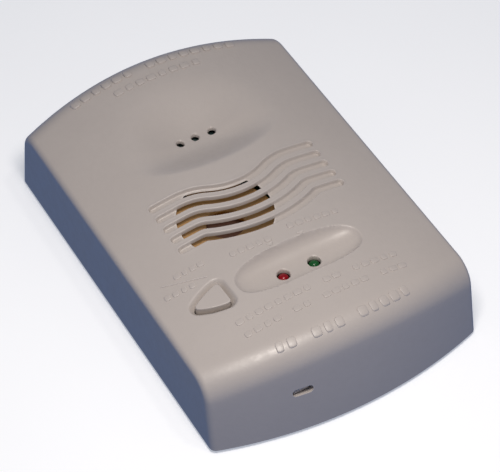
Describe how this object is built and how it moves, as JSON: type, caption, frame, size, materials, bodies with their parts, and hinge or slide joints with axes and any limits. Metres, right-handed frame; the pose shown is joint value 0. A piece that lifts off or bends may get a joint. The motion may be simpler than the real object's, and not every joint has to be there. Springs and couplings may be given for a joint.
{
  "type": "carbon monoxide detector",
  "caption": "Wall-mounted carbon monoxide detector with a crowned plastic case, wavy sounder grille, dished gas vent, light recess, test button and a swing-off mounting plate.",
  "frame": {"origin": "centre of the rear face of the mounting plate, on the wall plane", "axes": "+Z out of the front face, away from the wall; +Y towards the top end as it hangs; +X to the right seen from the front"},
  "size_m": [0.0838, 0.1292, 0.03],
  "materials": {
    "cover_plastic": "fine spark-eroded off-white ABS",
    "plate_plastic": "plain moulded off-white ABS",
    "black_plastic": "matte black moulding",
    "amber_plastic": "satin amber resin",
    "terminal_green": "satin green nylon",
    "relay_blue": "satin blue case",
    "capacitor_sleeve": "dark shrink sleeve",
    "suppressor_blue": "dipped epoxy coat",
    "board_laminate": "green solder mask",
    "red_lens": "tinted translucent epoxy",
    "green_lens": "tinted translucent epoxy",
    "filter_felt": "carbon felt",
    "screen_fabric": "fine woven screen",
    "foam_rubber": "closed-cell foam",
    "lead_insulation": "soft insulation",
    "screw_steel": "zinc plated",
    "can_steel": "drawn steel",
    "tinned_brass": "tin plated",
    "disc_brass": "rolled sheet",
    "copper_wire": "enamelled wire",
    "piezo_ceramic_white": "silvered ceramic",
    "chip_ceramic": "fired ceramic",
    "ferrite": "sintered ferrite"
  },
  "bodies": {
    "wall_plate": {"mounting_plate": "plate_plastic"},
    "latch": {"release_latch": "cover_plastic"},
    "detector": {"front_cover": "cover_plastic", "rear_housing": "plate_plastic", "housing_screws": "screw_steel", "main_pcb": "board_laminate", "pcb_screws": "screw_steel", "co_cell_base": "black_plastic", "co_cell_can": "can_steel", "co_cell_electrode_stack": "black_plastic", "co_cell_gas_filter": "filter_felt", "co_cell_pins": "tinned_brass", "sensor_gasket": "foam_rubber", "insect_screen": "screen_fabric", "sounder_base": "black_plastic", "piezo_disc": "disc_brass", "piezo_ceramic": "piezo_ceramic_white", "sounder_resonator": "amber_plastic", "piezo_leads": "lead_insulation", "led_alarm_lens": "red_lens", "led_normal_lens": "green_lens", "led_spacers": "black_plastic", "led_legs": "tinned_brass", "tact_switch_body": "black_plastic", "tact_switch_contact": "can_steel", "tact_switch_legs": "tinned_brass", "terminal_block": "terminal_green", "terminal_screws": "screw_steel", "terminal_clamps": "tinned_brass", "terminal_pins": "tinned_brass", "alarm_relay": "relay_blue", "trouble_relay": "relay_blue", "relay_feet": "tinned_brass", "microcontroller": "black_plastic", "microcontroller_pins": "tinned_brass", "bulk_capacitor": "capacitor_sleeve", "boost_coil_core": "ferrite", "boost_coil_winding": "copper_wire", "surge_suppressor": "suppressor_blue", "chip_parts": "chip_ceramic"},
    "button": {"test_button": "cover_plastic"},
    "plunger": {"tact_switch_plunger": "black_plastic"}
  },
  "joints": [
    {"name": "detector_swing", "type": "hinge", "parent": "wall_plate", "child": "detector", "pos_m": [0, 0.061, 0.0032], "axis": [-1, 0, 0], "range_deg": [0, 17], "deforming": ["release_latch"]},
    {"name": "latch_flex", "type": "hinge", "parent": "wall_plate", "child": "latch", "pos_m": [-0.016, -0.0572, 0.0016], "axis": [-1, 0, 0], "range_deg": [0, 7], "stiffness_Nm_per_rad": 0.05},
    {"name": "button_press", "type": "slide", "parent": "detector", "child": "button", "axis": [0, 0, -1], "range_m": [0, 0.0005], "stiffness_N_per_m": 300},
    {"name": "plunger_press", "type": "slide", "parent": "detector", "child": "plunger", "axis": [0, 0, -1], "range_m": [0, 0.0005]}
  ],
  "couplings": [
    {"joint": "plunger_press", "follows": "button_press", "ratio": 1}
  ]
}
